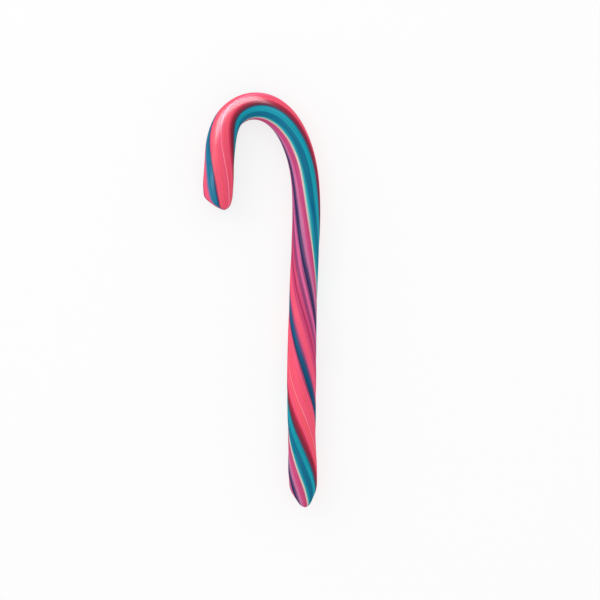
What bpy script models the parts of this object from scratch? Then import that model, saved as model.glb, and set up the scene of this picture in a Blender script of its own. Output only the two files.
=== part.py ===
# A candy cane lying on its side: one rod of pulled-sugar strands, twisted along its length,
# bent over into a hook and snipped to a wedge at both ends.
# Metres, +Z up. The stem runs along +Y, the hook comes over towards -X, and the pressed
# underside of the rod lies in the plane Z = 0.

import bmesh
import bpy
import numpy as np

NAME = "candy_cane"

# The rod, measured along its centreline from the foot of the stem to the tail of the hook
LENGTH = 0.2456
PRESSED_DEPTH = 0.0003           # how far the soft rod settled flat on the table
START_HEADING = 92.5             # degrees from +X: which way the stem sets off

# Distance from the foot, radius of the rod there
RADII = (
    (0.000, 0.00660),
    (0.013, 0.00665),            # squeezed out just above the snipped foot
    (0.027, 0.00622),
    (0.058, 0.00657),
    (0.095, 0.00627),
    (0.180, 0.00633),
    (0.200, 0.00593),            # drawn thinner where the bend is tightest
    (0.218, 0.00671),
    (LENGTH, 0.00707),
)

# Distance from the foot, curvature there in 1/m: a bend of 14 mm radius is 71
BENDS = (
    (0.000, -0.9),               # a slight bow of the stem away from the hook
    (0.112, -0.7),
    (0.140, 7.1),
    (0.168, 22.8),
    (0.187, 67.0),
    (0.203, 75.0),
    (0.213, 22.0),
    (0.228, 0.0),                # the tail is straight
)

# Distance from the foot, twist there in turns per metre
TWISTS = (
    (0.000, 2.3),                # held still while the foot was snipped
    (0.015, 9.7),
    (0.045, 10.2),
    (0.110, 6.3),
    (0.161, 1.2),                # hardly twisted where the hook begins
    (0.205, 7.5),
    (LENGTH, 6.5),
)
START_TWIST = -19.2              # degrees from the top of the rod to the cream strand, at the foot

# Creases between the strands: degrees round the rod from the cream strand, depth in metres,
# half-width in degrees
CREASES = (
    (0.0, 0.00030, 9.0),
    (57.0, 0.00012, 9.0),
    (167.0, 0.00014, 16.0),
    (232.0, 0.00012, 12.0),
    (279.0, 0.00012, 10.0),
)

# The snipped ends. "outer" is the side away from the middle of the hook, "inner" faces it.
# Each face leaves the tip at a slope: metres sideways for each metre along the rod.
FOOT_CUT = {"tip": 0.0006, "outer_slope": 0.56, "inner_slope": 0.71}
TAIL_CUT = {"tip": -0.0027, "outer_slope": 1.46, "inner_slope": 0.46}
NOSE_RADIUS = 0.0016             # rounding of the tip, seen from above
CORNER_RADIUS = 0.0022           # rounding of the tip's top and bottom corners
CUT_SOFTNESS = 0.0016            # rounding where a cut face meets the rod

# The mesh
SIDES = 40                       # points round the rod, the first of them in the cream crease
RINGS = 104                      # rings along it
END_CROWDING = 0.8               # how much closer the rings stand towards the ends: 0 is evenly
PATH_STEPS = 2400                # steps in which bends and twists are added up
POLE_REACH = 1e-6                # a point this near the sphere's axis is a pole, so a tip

CANDY_COLOR = (0.84, 0.13, 0.20, 1.0)
CANDY_ROUGHNESS = 0.3


def clear_scene():
    for thing in list(bpy.data.objects):
        bpy.data.objects.remove(thing, do_unlink=True)


def sugar_material():
    material = bpy.data.materials.new("pulled_sugar")
    material.use_nodes = True
    shader = material.node_tree.nodes["Principled BSDF"]
    shader.inputs["Base Color"].default_value = CANDY_COLOR
    shader.inputs["Roughness"].default_value = CANDY_ROUGHNESS
    shader.inputs["Metallic"].default_value = 0.0
    return material


def running_total(rate, step):
    # Trapezoidal sum of a rate along the rod, starting from zero
    return np.concatenate(([0.0], np.cumsum((rate[1:] + rate[:-1]) * 0.5 * step)))


def straight_between(stations, along):
    places, values = zip(*stations)
    return np.interp(along, places, values)


def eased_between(stations, along):
    # Like straight_between, but level at every station
    total = np.full_like(along, stations[0][1])
    for (start, low), (end, high) in zip(stations, stations[1:]):
        t = np.clip((along - start) / (end - start), 0.0, 1.0)
        total += (high - low) * t * t * (3.0 - 2.0 * t)
    return total


def trace_rod():
    # The rod's route in the plane and its accumulated twist, at even steps along it
    along = np.linspace(0.0, LENGTH, PATH_STEPS + 1)
    step = LENGTH / PATH_STEPS
    heading = np.radians(START_HEADING) + running_total(straight_between(BENDS, along), step)
    turns = running_total(straight_between(TWISTS, along), step)
    return {
        "along": along,
        "heading": heading,
        "x": running_total(np.cos(heading), step),
        "y": running_total(np.sin(heading), step),
        "twist": np.radians(START_TWIST) + 2.0 * np.pi * turns,
    }


def crease_depth(strand_angle):
    # How far the surface lies below the rod's radius at an angle round the strands
    depth = np.zeros_like(strand_angle)
    for centre, deep, half_width in CREASES:
        off = np.degrees(strand_angle) - centre
        off = (off + 180.0) % 360.0 - 180.0
        depth += deep * np.exp(-((off / half_width) ** 2))
    return depth


def rounded_start(distance, radius):
    # 0 at the tip, 1 from one radius on, along a quarter circle
    t = np.clip(distance / radius, 0.0, 1.0)
    return np.sqrt(1.0 - (1.0 - t) ** 2)


def soft_min(a, b, softness):
    return 0.5 * (a + b - np.sqrt((a - b) ** 2 + softness**2))


def snip(side, height, radius, distance, cut):
    # Press the section in between the two faces of a cut, as scissors leave a warm rod
    nose = NOSE_RADIUS * rounded_start(distance, NOSE_RADIUS)
    outer_face = cut["tip"] + nose + cut["outer_slope"] * distance
    inner_face = cut["tip"] - nose - cut["inner_slope"] * distance
    softness = np.minimum(CUT_SOFTNESS, 0.3 * (outer_face - inner_face))
    side = -soft_min(-side, -inner_face, softness)
    side = soft_min(side, outer_face, softness)
    corner = CORNER_RADIUS * (1.0 - rounded_start(distance, CORNER_RADIUS))
    return side, height * (1.0 - corner / radius)


def cane_points(sphere):
    # Lay the points of a unit sphere out along the rod: the south pole becomes the tip of the
    # foot and the north pole that of the tail, the rings are sections of the rod, and the
    # meridians follow the twisted strands
    rise = np.arccos(np.clip(-sphere[:, 2], -1.0, 1.0)) / np.pi
    strand_angle = np.arctan2(sphere[:, 1], sphere[:, 0])
    crowding = END_CROWDING * np.sin(2.0 * np.pi * rise) / (2.0 * np.pi)
    along = LENGTH * (rise - crowding)

    route = trace_rod()
    heading = np.interp(along, route["along"], route["heading"])
    angle = strand_angle - np.interp(along, route["along"], route["twist"])
    radius = eased_between(RADII, along)
    at_pole = np.hypot(sphere[:, 0], sphere[:, 1]) < POLE_REACH
    reach = np.where(at_pole, 0.0, radius - crease_depth(strand_angle))

    side = reach * np.sin(angle)
    height = reach * np.cos(angle)
    side, height = snip(side, height, radius, along, FOOT_CUT)
    side, height = snip(side, height, radius, LENGTH - along, TAIL_CUT)

    x = np.interp(along, route["along"], route["x"]) + side * np.sin(heading)
    y = np.interp(along, route["along"], route["y"]) - side * np.cos(heading)
    z = np.maximum(radius - PRESSED_DEPTH + height, 0.0)
    return np.column_stack((x, y, z))


def centred(points):
    # Put the origin at the middle of the footprint
    middle = (points.min(axis=0) + points.max(axis=0)) / 2.0
    middle[2] = 0.0
    return points - middle


def make_cane(collection):
    shape = bmesh.new()
    bmesh.ops.create_uvsphere(shape, u_segments=SIDES, v_segments=RINGS, radius=1.0)
    sphere = np.array([vertex.co for vertex in shape.verts])
    for vertex, point in zip(shape.verts, centred(cane_points(sphere))):
        vertex.co = point

    mesh = bpy.data.meshes.new(NAME)
    shape.to_mesh(mesh)
    shape.free()
    mesh.shade_smooth()
    mesh.materials.append(sugar_material())
    cane = bpy.data.objects.new(NAME, mesh)
    collection.objects.link(cane)


def main():
    clear_scene()
    collection = bpy.data.collections.new(NAME)
    bpy.context.scene.collection.children.link(collection)
    make_cane(collection)


main()
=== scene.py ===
import math

import bmesh
import bpy
import numpy as np
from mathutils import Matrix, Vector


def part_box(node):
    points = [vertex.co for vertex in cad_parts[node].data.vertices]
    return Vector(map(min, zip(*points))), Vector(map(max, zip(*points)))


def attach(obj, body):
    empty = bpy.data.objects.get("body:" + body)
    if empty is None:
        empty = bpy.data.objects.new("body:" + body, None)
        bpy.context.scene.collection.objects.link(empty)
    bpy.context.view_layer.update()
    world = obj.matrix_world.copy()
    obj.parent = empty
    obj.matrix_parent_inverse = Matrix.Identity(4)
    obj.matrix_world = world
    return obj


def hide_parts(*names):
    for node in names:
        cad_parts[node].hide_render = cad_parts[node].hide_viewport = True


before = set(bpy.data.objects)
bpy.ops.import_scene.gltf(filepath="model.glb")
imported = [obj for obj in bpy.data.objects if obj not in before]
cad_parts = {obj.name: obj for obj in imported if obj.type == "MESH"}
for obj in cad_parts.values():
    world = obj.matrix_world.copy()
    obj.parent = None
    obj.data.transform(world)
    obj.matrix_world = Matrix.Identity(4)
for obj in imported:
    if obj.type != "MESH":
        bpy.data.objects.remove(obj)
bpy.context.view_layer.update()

# A candy cane lying on its side. The rod is modelled straight along +X with its strands unrolled,
# then twisted, snipped at both ends, bent over into the hook and set down on the table.
# Metres and degrees; "along" is the distance from the foot along the middle of the rod.

cane = {
    "length": 0.2456,
    "plainRadius": 0.0063,
    "columns": 120,                  # faces round the rod
    "rings": 690,                    # rings along it
    "tipRings": (0.00002, 0.00009, 0.0002),   # extra ones close to each tip
    "startHeading": 92.5,            # from +X: which way the stem sets off
    "guideSteps": 600,
    "pressed": 0.0003,               # how far the soft rod settled flat on the table
    # along, radius
    "girth": (
        (0.000, 0.00660),
        (0.013, 0.00665),            # squeezed out just above the snipped foot
        (0.027, 0.00622),
        (0.058, 0.00657),
        (0.095, 0.00627),
        (0.180, 0.00633),
        (0.200, 0.00593),            # drawn thinner where the bend is tightest
        (0.218, 0.00671),
        (0.2456, 0.00707),
    ),
    # along, curvature in 1/m
    "bends": (
        (0.000, -0.9),               # a slight bow of the stem away from the hook
        (0.112, -0.7),
        (0.140, 7.1),
        (0.168, 22.8),
        (0.187, 67.0),
        (0.203, 75.0),
        (0.213, 22.0),
        (0.228, 0.0),                # the tail is straight
    ),
}

twist = {
    "start": -22.2,                  # from the top of the rod to the cream strand, at the foot
    # along, turns in a metre
    "turns": (
        (0.000, 4.2),                # held still while the foot was snipped
        (0.012, 8.8),
        (0.030, 10.7),
        (0.045, 10.1),
        (0.062, 7.8),
        (0.080, 8.5),
        (0.100, 7.2),
        (0.125, 4.7),
        (0.150, 1.7),                # hardly twisted where the hook begins
        (0.170, 4.0),
        (0.187, 5.3),
        (0.205, 7.0),
        (0.225, 6.1),
        (0.2456, 2.8),
    ),
}

# Grooves between the fused strands: degrees round from the cream strand, depth, reach each side
grooves = {
    "cream": (0.0, 0.00030, 0.0017),
    "turquoise": (57.0, 0.00012, 0.0017),
    "navy": (167.0, 0.00014, 0.0030),
    "raspberry": (232.0, 0.00012, 0.0022),
    "purple": (279.0, 0.00012, 0.0019),
}

fibres = {
    "long": 0.030,                   # how long and wide the pulled fibres run
    "wide": 0.0009,
    "deep": 0.00005,
}

# The snips. The outer side faces away from the middle of the hook. Each blade's face leaves the tip
# at a slope, metres sideways for each metre along the rod, and rounds into the rod softly.
# tip, then slope and softness of each side
footSnip = {"tip": 0.0006, "outer": (0.56, 0.0016), "inner": (0.71, 0.0016)}
tailSnip = {"tip": -0.0027, "outer": (1.62, 0.0026), "inner": (0.55, 0.0014)}
snips = {
    "reach": 0.0200,                 # nothing is squeezed farther from the tip than this
    "nose": 0.0016,                  # rounding of the tip, seen from above
    "corner": 0.0022,                # rounding of the tip's top and bottom corners
    # how the rod gives way before a blade: start from the face in softnesses, what is left beyond it
    "giving": ((-4.0, 0.93), (-0.99, 0.68), (-0.38, 0.32), (-0.13, 0.13)),
    "smoothing": 12,
}


def soFar(rate, step):
    # What a rate adds up to along the rod, starting from zero
    return np.concatenate(([0.0], np.cumsum((rate[1:] + rate[:-1]) * 0.5 * step)))


def straightBetween(stations, along):
    places, values = zip(*stations)
    return np.interp(along, places, values)


def easedBetween(stations, along):
    total = np.full_like(along, stations[0][1])
    for (start, low), (end, high) in zip(stations, stations[1:]):
        t = np.clip((along - start) / (end - start), 0.0, 1.0)
        total += (high - low) * t * t * (3.0 - 2.0 * t)
    return total


def pickVerts(rod, wanted):
    # Select the vertices that the test picks, and nothing else
    bpy.ops.mesh.select_all(action="DESELECT")
    shape = bmesh.from_edit_mesh(rod.data)
    for vertex in shape.verts:
        vertex.select = wanted(vertex.co)
    shape.select_flush_mode()
    bmesh.update_edit_mesh(rod.data, loop_triangles=False, destructive=False)


def addStraightRod():
    bpy.ops.object.select_all(action="DESELECT")
    bpy.ops.mesh.primitive_cylinder_add(
        vertices=cane["columns"],
        radius=cane["plainRadius"],
        depth=cane["length"],
        end_fill_type="NOTHING",
        location=(cane["length"] / 2, 0.0, 0.0),
        rotation=(0.0, math.pi / 2, 0.0),
    )
    rod = bpy.context.object
    rod.name = "twistedRod"
    rod.data.name = "twistedRod"
    rod.data.uv_layers.active.name = "strands"   # u runs round from the cream strand, v along
    bpy.ops.object.transform_apply(location=True, rotation=True, scale=True)
    return rod


def pressGrooves(rod):
    # Push one column in for each groove, and its neighbours with it
    bpy.ops.object.mode_set(mode="EDIT")
    bpy.ops.mesh.select_mode(type="VERT")
    radius = cane["plainRadius"]
    for around, depth, reach in grooves.values():
        side = math.radians(90.0 - around)       # the cream strand starts on the +Y side
        column = (radius * math.sin(side), radius * math.cos(side))
        halfFace = math.pi * radius / cane["columns"]
        pickVerts(rod, lambda co: math.hypot(co.y - column[0], co.z - column[1]) < halfFace * 1.05)
        inward = 1.0 - depth / radius
        bpy.ops.transform.resize(
            value=(1.0, inward, inward),
            center_override=(0.0, 0.0, 0.0),
            use_proportional_edit=True,
            proportional_edit_falloff="SMOOTH",
            proportional_size=reach,
        )
    bpy.ops.object.mode_set(mode="OBJECT")


def cutRings(rod):
    bpy.ops.object.mode_set(mode="EDIT")
    for distance in cane["tipRings"]:
        for along in (distance, cane["length"] - distance):
            bpy.ops.mesh.select_all(action="SELECT")
            bpy.ops.mesh.bisect(plane_co=(along, 0.0, 0.0), plane_no=(1.0, 0.0, 0.0))
    bpy.ops.mesh.select_mode(type="EDGE")
    bpy.ops.mesh.select_all(action="DESELECT")
    shape = bmesh.from_edit_mesh(rod.data)
    for edge in shape.edges:
        edge.select = edge.calc_length() > cane["length"] / 2
    bmesh.update_edit_mesh(rod.data)
    bpy.ops.mesh.subdivide_edgering(number_cuts=cane["rings"], interpolation="LINEAR")
    bpy.ops.mesh.select_mode(type="VERT")
    bpy.ops.object.mode_set(mode="OBJECT")


def raiseFibres(rod):
    # Fine ridges along the pull, from a cloud pattern stretched along the rod
    bpy.ops.object.empty_add(location=(0.0, 0.0, 0.0))
    stretch = bpy.context.object
    stretch.scale = (fibres["long"], fibres["wide"], fibres["wide"])
    ridges = bpy.data.textures.new("fibreRidges", "CLOUDS")
    ridges.noise_scale = 1.0
    ridges.noise_depth = 2
    bpy.context.view_layer.objects.active = rod
    bpy.ops.object.modifier_add(type="DISPLACE")
    modifier = rod.modifiers[-1]
    modifier.texture = ridges
    modifier.texture_coords = "OBJECT"
    modifier.texture_coords_object = stretch
    modifier.strength = fibres["deep"]
    modifier.mid_level = 0.5
    bpy.ops.object.modifier_apply(modifier=modifier.name)
    bpy.data.objects.remove(stretch)
    bpy.data.textures.remove(ridges)


def addGuide(name, places, radii, tilts):
    path = bpy.data.curves.new(name, "CURVE")
    path.dimensions = "3D"
    path.twist_mode = "Z_UP"
    route = path.splines.new("POLY")
    route.points.add(len(places) - 1)
    for knot, place, radius, tilt in zip(route.points, places, radii, tilts):
        knot.co = (*place, 1.0)
        knot.radius = radius
        knot.tilt = tilt
    guide = bpy.data.objects.new(name, path)
    bpy.context.collection.objects.link(guide)
    return guide


def followGuide(rod, guide):
    bpy.context.view_layer.objects.active = rod
    bpy.ops.object.modifier_add(type="CURVE")
    modifier = rod.modifiers[-1]
    modifier.object = guide
    modifier.deform_axis = "POS_X"
    bpy.ops.object.modifier_apply(modifier=modifier.name)
    path = guide.data
    bpy.data.objects.remove(guide)
    bpy.data.curves.remove(path)


def twistRod(rod):
    along = np.linspace(0.0, cane["length"], cane["guideSteps"] + 1)
    turns = soFar(straightBetween(twist["turns"], along), cane["length"] / cane["guideSteps"])
    tilts = math.radians(90.0 - twist["start"]) - 2.0 * math.pi * turns
    places = [(distance, 0.0, 0.0) for distance in along]
    followGuide(rod, addGuide("twistGuide", places, np.ones_like(along), tilts))


def roundedStart(distance, radius):
    # 0 at the tip, 1 from one radius on, along a quarter circle
    t = min(max(distance / radius, 0.0), 1.0)
    return math.sqrt(1.0 - (1.0 - t) ** 2)


def endRings(shape, end):
    # The rings near one end, from the tip inwards: distance from the tip, vertices
    near = [(abs(vertex.co.x - end), vertex) for vertex in shape.verts
            if abs(vertex.co.x - end) < snips["reach"]]
    near.sort(key=lambda pair: pair[0])
    rings = [[near[0]]]
    for before, here in zip(near, near[1:]):
        if here[0] - before[0] > 0.000005:
            rings.append([])
        rings[-1].append(here)
    return [(ring[0][0], [vertex for distance, vertex in ring]) for ring in rings]


def squeeze(shape, ring, picked, value, centre):
    for vertex in ring:
        vertex.select = picked(vertex.co)
    shape.select_flush_mode()
    bpy.ops.transform.resize(value=value, center_override=centre)
    for vertex in ring:
        vertex.select = False


def snipEnd(rod, end, cut):
    bpy.ops.object.mode_set(mode="EDIT")
    bpy.ops.mesh.select_mode(type="VERT")
    bpy.ops.mesh.select_all(action="DESELECT")
    shape = bmesh.from_edit_mesh(rod.data)
    for distance, ring in endRings(shape, end):
        x = ring[0].co.x
        nose = snips["nose"] * roundedStart(max(distance, 0.00001), snips["nose"])
        # the outer side is -Y while the rod is straight
        outer = -(cut["tip"] + nose + cut["outer"][0] * distance)
        inner = -(cut["tip"] - nose - cut["inner"][0] * distance)
        for face, way, softness in ((inner, 1.0, cut["inner"][1]), (outer, -1.0, cut["outer"][1])):
            softness = min(softness, 0.3 * (inner - outer))
            for start, left in snips["giving"]:
                start = face * way + start * softness
                if max(vertex.co.y * way for vertex in ring) > start:
                    squeeze(shape, ring, lambda co: co.y * way > start,
                            (1.0, left, 1.0), (x, start * way, 0.0))
        corner = snips["corner"] * (1.0 - roundedStart(distance, snips["corner"]))
        if corner > 0.0:
            squeeze(shape, ring, lambda co: True,
                    (1.0, 1.0, 1.0 - corner / cane["plainRadius"]), (x, 0.0, 0.0))
    pickVerts(rod, lambda co: 0.0001 < abs(co.x - end) < snips["reach"])
    bpy.ops.mesh.vertices_smooth(factor=0.5, repeat=snips["smoothing"],
                                 xaxis=False, yaxis=True, zaxis=True)
    bpy.ops.object.mode_set(mode="OBJECT")


def closeEnds(rod):
    # Fill both end rings, and let the caps take their strands from the wall
    bpy.ops.object.mode_set(mode="EDIT")
    for end in (0.0, cane["length"]):
        pickVerts(rod, lambda co: abs(co.x - end) < 0.000005)
        bpy.ops.mesh.edge_face_add()
        bpy.ops.mesh.quads_convert_to_tris(quad_method="BEAUTY", ngon_method="BEAUTY")
    shape = bmesh.from_edit_mesh(rod.data)
    strands = shape.loops.layers.uv["strands"]
    for face in shape.faces:
        xs = [loop.vert.co.x for loop in face.loops]
        if max(xs) - min(xs) > 0.000005:
            continue
        for loop in face.loops:
            wall = next(other for other in loop.vert.link_loops
                        if max(abs(v.co.x - loop.vert.co.x) for v in other.face.verts) > 0.000005)
            loop[strands].uv = wall[strands].uv
        highest = max(loop[strands].uv.x for loop in face.loops)
        for loop in face.loops:
            if highest - loop[strands].uv.x > 0.5:
                loop[strands].uv.x += 1.0            # across the seam the count goes on past one
    bmesh.update_edit_mesh(rod.data)
    bpy.ops.object.mode_set(mode="OBJECT")


def bendRod(rod):
    steps = cane["guideSteps"]
    along = np.linspace(0.0, cane["length"], steps + 1)
    step = cane["length"] / steps
    heading = math.radians(cane["startHeading"]) + soFar(straightBetween(cane["bends"], along), step)
    radius = easedBetween(cane["girth"], along)
    places = np.column_stack((
        soFar(np.cos(heading), step),
        soFar(np.sin(heading), step),
        radius - cane["pressed"],
    ))
    followGuide(rod, addGuide("bendGuide", places, radius / cane["plainRadius"], np.zeros_like(along)))


def setDown(rod):
    # Flatten the underside on the table, and centre the cane on its footprint
    bpy.ops.object.mode_set(mode="EDIT")
    pickVerts(rod, lambda co: co.z < 0.0)
    bpy.ops.transform.resize(value=(1.0, 1.0, 0.0), center_override=(0.0, 0.0, 0.0))
    bpy.ops.mesh.select_all(action="SELECT")
    low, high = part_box("candy_cane")
    corners = np.array([vertex.co for vertex in bmesh.from_edit_mesh(rod.data).verts])
    middle = (corners.min(axis=0) + corners.max(axis=0)) / 2.0
    bpy.ops.transform.translate(value=(
        (low[0] + high[0]) / 2.0 - middle[0],
        (low[1] + high[1]) / 2.0 - middle[1],
        low[2] - corners[:, 2].min(),
    ))
    bpy.ops.object.mode_set(mode="OBJECT")
    bpy.ops.object.shade_smooth()


palette = {
    "cream": (216, 202, 190),
    "seaGreen": (60, 168, 170),
    "turquoise": (5, 150, 170),
    "deepTeal": (2, 105, 141),
    "teal": (18, 122, 148),
    "plum": (82, 58, 84),
    # wine, maroon and crimson: a dark red strand's own colour, darkened further towards the turquoise
    # groove as painted crease shade
    "wineAndCreaseShade": (112, 44, 66),
    "maroonAndCreaseShade": (145, 32, 52),
    "crimsonAndCreaseShade": (208, 52, 77),
    "coral": (240, 83, 107),
    # a pale line in the coral: painted highlight along a fold of the sugar
    "paleRidgeHighlight": (255, 148, 166),
    "pinkCoral": (238, 84, 115),
    "navyEdge": (24, 50, 90),
    "inkTeal": (5, 80, 120),
    "violet": (92, 70, 114),
    "rose": (212, 72, 116),
    "raspberry": (192, 57, 101),
    "darkRaspberry": (168, 34, 80),
    "purple": (142, 58, 108),
    "pink": (224, 98, 150),
    "navy": (54, 44, 92),
    "lilac": (200, 112, 156),
    "magenta": (198, 70, 120),
    "tailTeal": (6, 112, 150),
    "greyLilac": (150, 106, 150),
}

# Where each strand lies, in degrees round the rod from the middle of the cream one:
# one half of the way round, and the other. Some stops are painted crease shade and a painted
# highlight, marked below
nearStrands = (
    (0, "cream"),
    (0.7, "cream"),
    (4.5, "seaGreen"),
    (9, "turquoise"),
    (18, "deepTeal"),
    (33, "deepTeal"),
    (40, "turquoise"),
    (52, "turquoise"),
    (58, "teal"),
    (62, "plum"),
    (67, "wineAndCreaseShade"),
    # the dark red strand: its own colour plus painted crease shade, darkest by the turquoise groove
    # and fading into the coral
    (77, "maroonAndCreaseShade"),
    (87, "crimsonAndCreaseShade"),
    (93, "coral"),
    (119, "coral"),
    # painted highlight along a fold of the sugar, inside the coral
    (122, "paleRidgeHighlight"),
    (125, "coral"),
    (150, "coral"),
    (172, "pinkCoral"),
    (180, "navyEdge"),
)
farStrands = (
    (180, "navyEdge"),
    (186, "inkTeal"),
    (196, "inkTeal"),
    (203, "violet"),
    (213, "pinkCoral"),
    (232, "pinkCoral"),
    (241, "rose"),
    (250, "raspberry"),
    (254.5, "darkRaspberry"),
    (257.5, "raspberry"),
    (261, "rose"),
    (267, "rose"),
    (277, "purple"),
    (282, "purple"),
    (290, "pink"),
    (295, "pink"),
    (304.5, "navy"),
    (313, "navy"),
    (317.5, "violet"),
    (326, "lilac"),
    (330, "lilac"),
    (339, "magenta"),
    (354, "magenta"),
    (359.3, "cream"),
)
# The blue strand again, as it runs down the tail
tailStrands = (
    (150, "pinkCoral"),
    (170, "pinkCoral"),
    (174.5, "navyEdge"),
    (182, "tailTeal"),
    (200, "tailTeal"),
    (207, "greyLilac"),
    (214, "pinkCoral"),
)


def linear(color):
    # From 0..255 as seen to the shader's linear values
    parts = [part / 255.0 for part in color]
    return tuple(part / 12.92 if part <= 0.04045 else ((part + 0.055) / 1.055) ** 2.4
                 for part in parts) + (1.0,)


class Nodes:
    # Short ways to add and join the nodes of one material
    def __init__(self, material):
        material.use_nodes = True
        self.tree = material.node_tree
        self.shader = self.tree.nodes["Principled BSDF"]

    def add(self, kind, **settings):
        node = self.tree.nodes.new(kind)
        for name, value in settings.items():
            setattr(node, name, value)
        return node

    def join(self, source, target):
        self.tree.links.new(source, target)

    def math(self, operation, first, second=None, third=None):
        node = self.add("ShaderNodeMath", operation=operation)
        for socket, value in zip(node.inputs, (first, second, third)):
            if value is None:
                continue
            if isinstance(value, (int, float)):
                socket.default_value = value
            else:
                self.join(value, socket)
        return node.outputs[0]

    def mix(self, share, first, second):
        node = self.add("ShaderNodeMix", data_type="RGBA")
        self.join(share, node.inputs[0])
        self.join(first, node.inputs[6])         # the colour sockets follow the number ones
        self.join(second, node.inputs[7])
        return node.outputs[2]


def strandRamp(nodes, stops):
    ramp = nodes.add("ShaderNodeValToRGB")
    marks = ramp.color_ramp.elements
    marks[0].position = stops[0][0] / 360.0
    marks[0].color = linear(palette[stops[0][1]])
    marks.remove(marks[1])
    for degrees, name in stops[1:]:
        mark = marks.new(degrees / 360.0)
        mark.color = linear(palette[name])
    return ramp


def paintSugar(rod):
    sugar = bpy.data.materials.new("pulledSugar")
    nodes = Nodes(sugar)
    unrolled = nodes.add("ShaderNodeUVMap", uv_map="strands")
    parts = nodes.add("ShaderNodeSeparateXYZ")
    nodes.join(unrolled.outputs["UV"], parts.inputs[0])
    around = parts.outputs["X"]
    along = parts.outputs["Y"]
    angle = nodes.math("MULTIPLY", around, 2.0 * math.pi)
    cosine = nodes.math("COSINE", angle)
    sine = nodes.math("SINE", angle)

    def streaks(finer, runs, detail):
        # Noise that closes up round the rod and runs long along it
        place = nodes.add("ShaderNodeCombineXYZ")
        nodes.join(nodes.math("MULTIPLY", cosine, finer), place.inputs[0])
        nodes.join(nodes.math("MULTIPLY", sine, finer), place.inputs[1])
        nodes.join(nodes.math("MULTIPLY", along, runs), place.inputs[2])
        noise = nodes.add("ShaderNodeTexNoise")
        noise.inputs["Scale"].default_value = 1.0
        noise.inputs["Detail"].default_value = detail
        nodes.join(place.outputs[0], noise.inputs["Vector"])
        # most of the noise lies near its middle: spread it out from 0 to 1
        spread = nodes.math("MULTIPLY_ADD", noise.outputs["Fac"], 2.4, -0.7)
        return nodes.math("MINIMUM", nodes.math("MAXIMUM", spread, 0.0), 1.0)

    wander = nodes.math("MULTIPLY_ADD", streaks(1.2, 9.0, 2.0), 0.005, -0.0025)
    feather = nodes.math("MULTIPLY_ADD", streaks(10.0, 10.0, 3.0), 0.014, -0.007)
    moved = nodes.math("FRACT", nodes.math("ADD", nodes.math("ADD", around, wander), feather))
    near = strandRamp(nodes, nearStrands)
    far = strandRamp(nodes, farStrands)
    tail = strandRamp(nodes, tailStrands)
    nodes.join(moved, near.inputs["Fac"])
    nodes.join(moved, far.inputs["Fac"])
    nodes.join(moved, tail.inputs["Fac"])
    inFarHalf = nodes.math("GREATER_THAN", moved, 0.5)
    strands = nodes.mix(inFarHalf, near.outputs["Color"], far.outputs["Color"])
    onTail = nodes.add("ShaderNodeMapRange")
    onTail.inputs["From Min"].default_value = 0.74
    onTail.inputs["From Max"].default_value = 0.82
    nodes.join(along, onTail.inputs["Value"])
    inBlue = nodes.math("COMPARE", moved, 191.0 / 360.0, 25.0 / 360.0)
    strands = nodes.mix(nodes.math("MULTIPLY", onTail.outputs["Result"], inBlue),
                        strands, tail.outputs["Color"])

    # Light and dark fibres, which show least in the coral
    fibre = streaks(22.0, 12.0, 3.0)
    broad = streaks(8.0, 6.0, 3.0)
    channels = nodes.add("ShaderNodeSeparateColor")
    nodes.join(strands, channels.inputs["Color"])
    contrast = nodes.math("MULTIPLY_ADD", channels.outputs["Red"], -0.70, 1.0)
    swing = nodes.math("ADD", nodes.math("MULTIPLY_ADD", fibre, 0.44, -0.22),
                       nodes.math("MULTIPLY_ADD", broad, 0.40, -0.20))
    tone = nodes.add("ShaderNodeHueSaturation")
    nodes.join(nodes.math("MULTIPLY_ADD", streaks(3.0, 4.0, 2.0), 0.014, 0.490), tone.inputs["Hue"])
    nodes.join(nodes.math("MULTIPLY_ADD", swing, contrast, 1.0), tone.inputs["Value"])
    nodes.join(strands, tone.inputs["Color"])
    nodes.join(tone.outputs["Color"], nodes.shader.inputs["Base Color"])

    bump = nodes.add("ShaderNodeBump")
    bump.inputs["Strength"].default_value = 0.35
    bump.inputs["Distance"].default_value = 0.0001
    nodes.join(streaks(40.0, 20.0, 4.0), bump.inputs["Height"])
    nodes.join(bump.outputs["Normal"], nodes.shader.inputs["Normal"])
    # the gloss is all in the clear skin over the coloured strands
    nodes.shader.inputs["Roughness"].default_value = 0.5
    nodes.shader.inputs["Specular IOR Level"].default_value = 0.0
    nodes.shader.inputs["Coat Weight"].default_value = 0.5
    nodes.join(nodes.math("MULTIPLY_ADD", fibre, 0.16, 0.20), nodes.shader.inputs["Coat Roughness"])
    nodes.shader.inputs["Subsurface Weight"].default_value = 0.08
    nodes.shader.inputs["Subsurface Radius"].default_value = (1.0, 0.5, 0.5)
    nodes.shader.inputs["Subsurface Scale"].default_value = 0.0008
    rod.data.materials.clear()
    rod.data.materials.append(sugar)


def makeCane():
    rod = addStraightRod()
    pressGrooves(rod)
    cutRings(rod)
    raiseFibres(rod)
    print("straight rod with its grooves and fibres")
    twistRod(rod)
    snipEnd(rod, 0.0, footSnip)
    snipEnd(rod, cane["length"], tailSnip)
    closeEnds(rod)
    print("rod twisted and snipped")
    bendRod(rod)
    setDown(rod)
    paintSugar(rod)
    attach(rod, "root")
    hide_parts("candy_cane")
    print("cane bent and set down")
    return rod


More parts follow.
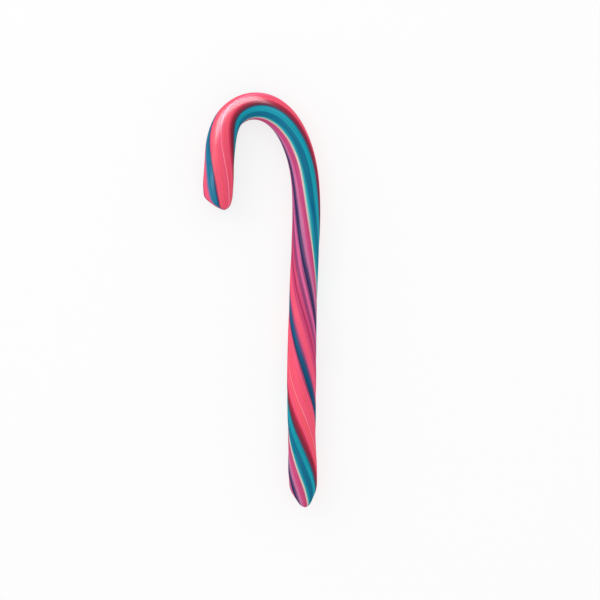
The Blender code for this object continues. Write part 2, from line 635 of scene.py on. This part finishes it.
studio = {
    "floorSize": 6.0,
    "floorHeight": -0.00002,         # a hair below the cane's flat underside
    "floorColor": 0.22,
    "floorRoughness": 0.9,
    "floorGlow": 0.75,               # a light table: it glows as well as it is lit
    "roomLight": 0.96,
    "roomInGloss": 0.04,             # how bright the candy's gloss sees the room and the table
    "floorInGloss": 0.25,
    # away from the cane, from +X towards +Y, above the table, width and height, power
    "key": (1.2, 132.0, 25.0, (1.2, 0.8), 4.5),
    "sheen": (1.2, 119.0, 30.0, (1.3, 1.1), 76.0),
    "cameraPlace": (0.01725, -0.0003, 0.7563),
    "lens": 100.0,                   # lens and sensor in millimetres
    "sensor": 36.0,
    "clip": (0.01, 20.0),
}


def addSoftbox(name, setting):
    reach, compass, height, size, power = setting
    compass = math.radians(compass)
    height = math.radians(height)
    place = (
        reach * math.cos(height) * math.cos(compass),
        reach * math.cos(height) * math.sin(compass),
        reach * math.sin(height),
    )
    bpy.ops.object.light_add(
        type="AREA",
        location=place,
        rotation=(math.pi / 2 - height, 0.0, compass + math.pi / 2),
    )
    softbox = bpy.context.object
    softbox.name = name
    softbox.data.shape = "RECTANGLE"
    softbox.data.size = size[0]
    softbox.data.size_y = size[1]
    softbox.data.energy = power
    return softbox


def dimInGloss(tree, plain, inGloss):
    # One value for what is seen or lit directly, another for what the gloss reflects
    path = tree.nodes.new("ShaderNodeLightPath")
    level = tree.nodes.new("ShaderNodeMapRange")
    level.inputs["To Min"].default_value = plain
    level.inputs["To Max"].default_value = inGloss
    tree.links.new(path.outputs["Is Glossy Ray"], level.inputs["Value"])
    return level.outputs["Result"]


def addStudio():
    bpy.ops.object.select_all(action="DESELECT")
    bpy.ops.mesh.primitive_plane_add(
        size=studio["floorSize"],
        location=(0.0, 0.0, studio["floorHeight"]),
    )
    floor = bpy.context.object
    floor.name = "floor"
    paper = bpy.data.materials.new("palePaper")
    nodes = Nodes(paper)
    nodes.shader.inputs["Roughness"].default_value = studio["floorRoughness"]
    nodes.shader.inputs["Specular IOR Level"].default_value = 0.0
    nodes.shader.inputs["Emission Color"].default_value = (1.0, 1.0, 1.0, 1.0)
    nodes.join(dimInGloss(nodes.tree, studio["floorColor"], 0.0), nodes.shader.inputs["Base Color"])
    nodes.join(dimInGloss(nodes.tree, studio["floorGlow"], studio["floorInGloss"]),
               nodes.shader.inputs["Emission Strength"])
    floor.data.materials.append(paper)

    room = bpy.data.worlds.new("studioRoom")
    bpy.context.scene.world = room
    room.use_nodes = True
    background = room.node_tree.nodes["Background"]
    background.inputs["Color"].default_value = (1.0, 1.0, 1.0, 1.0)
    room.node_tree.links.new(dimInGloss(room.node_tree, studio["roomLight"], studio["roomInGloss"]),
                             background.inputs["Strength"])

    key = addSoftbox("keyLight", studio["key"])
    key.visible_glossy = False
    sheen = addSoftbox("sheenLight", studio["sheen"])
    sheen.visible_diffuse = False                # it only shows in the gloss

    bpy.ops.object.camera_add(location=studio["cameraPlace"], rotation=(0.0, 0.0, 0.0))
    camera = bpy.context.object
    camera.name = "camera"
    camera.data.lens = studio["lens"]
    camera.data.sensor_width = studio["sensor"]
    camera.data.clip_start, camera.data.clip_end = studio["clip"]
    bpy.context.scene.camera = camera
    bpy.context.scene.view_settings.view_transform = "Standard"
    print("floor, light and camera")


makeCane()
addStudio()
